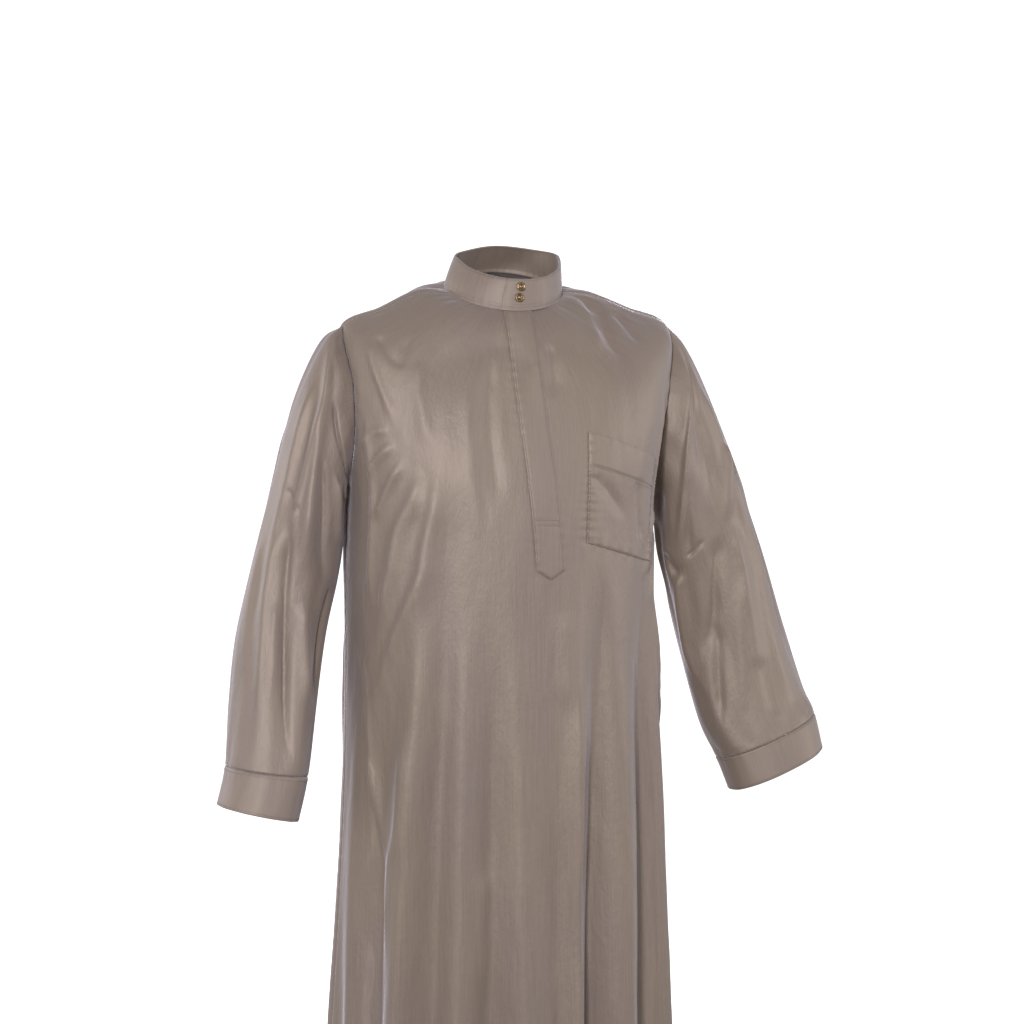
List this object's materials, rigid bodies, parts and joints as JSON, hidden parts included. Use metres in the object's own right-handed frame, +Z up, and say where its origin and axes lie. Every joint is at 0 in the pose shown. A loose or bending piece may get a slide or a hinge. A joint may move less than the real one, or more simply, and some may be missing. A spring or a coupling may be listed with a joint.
{
  "type": "thobe robe",
  "caption": "Long straight satin robe, filled out as worn, with a stand collar, a half placket, long sleeves, a chest pocket and side pockets.",
  "frame": {"origin": "centre of the neck seam, level with where the collar crosses the tops of the shoulders", "axes": "+Z up; the front of the robe faces -Y; +X is the wearer's left"},
  "size_m": [0.757, 0.3556, 1.447],
  "materials": {
    "satin": "taupe polyester satin with a soft lilac-grey sheen",
    "pressed_satin": "the same satin, turned, pressed and stitched flat",
    "snap_metal": "dark antique brass, worn bright on the raised edges"
  },
  "bodies": {
    "root": {"front_panel": "satin", "back_panel": "satin", "sleeve_right": "satin", "sleeve_left": "satin", "cuff_right": "pressed_satin", "cuff_left": "pressed_satin", "collar": "pressed_satin", "placket": "pressed_satin", "chest_pocket": "satin", "side_pocket_right": "satin", "side_pocket_left": "satin", "snap_upper": "snap_metal", "snap_lower": "snap_metal"}
  },
  "joints": []
}
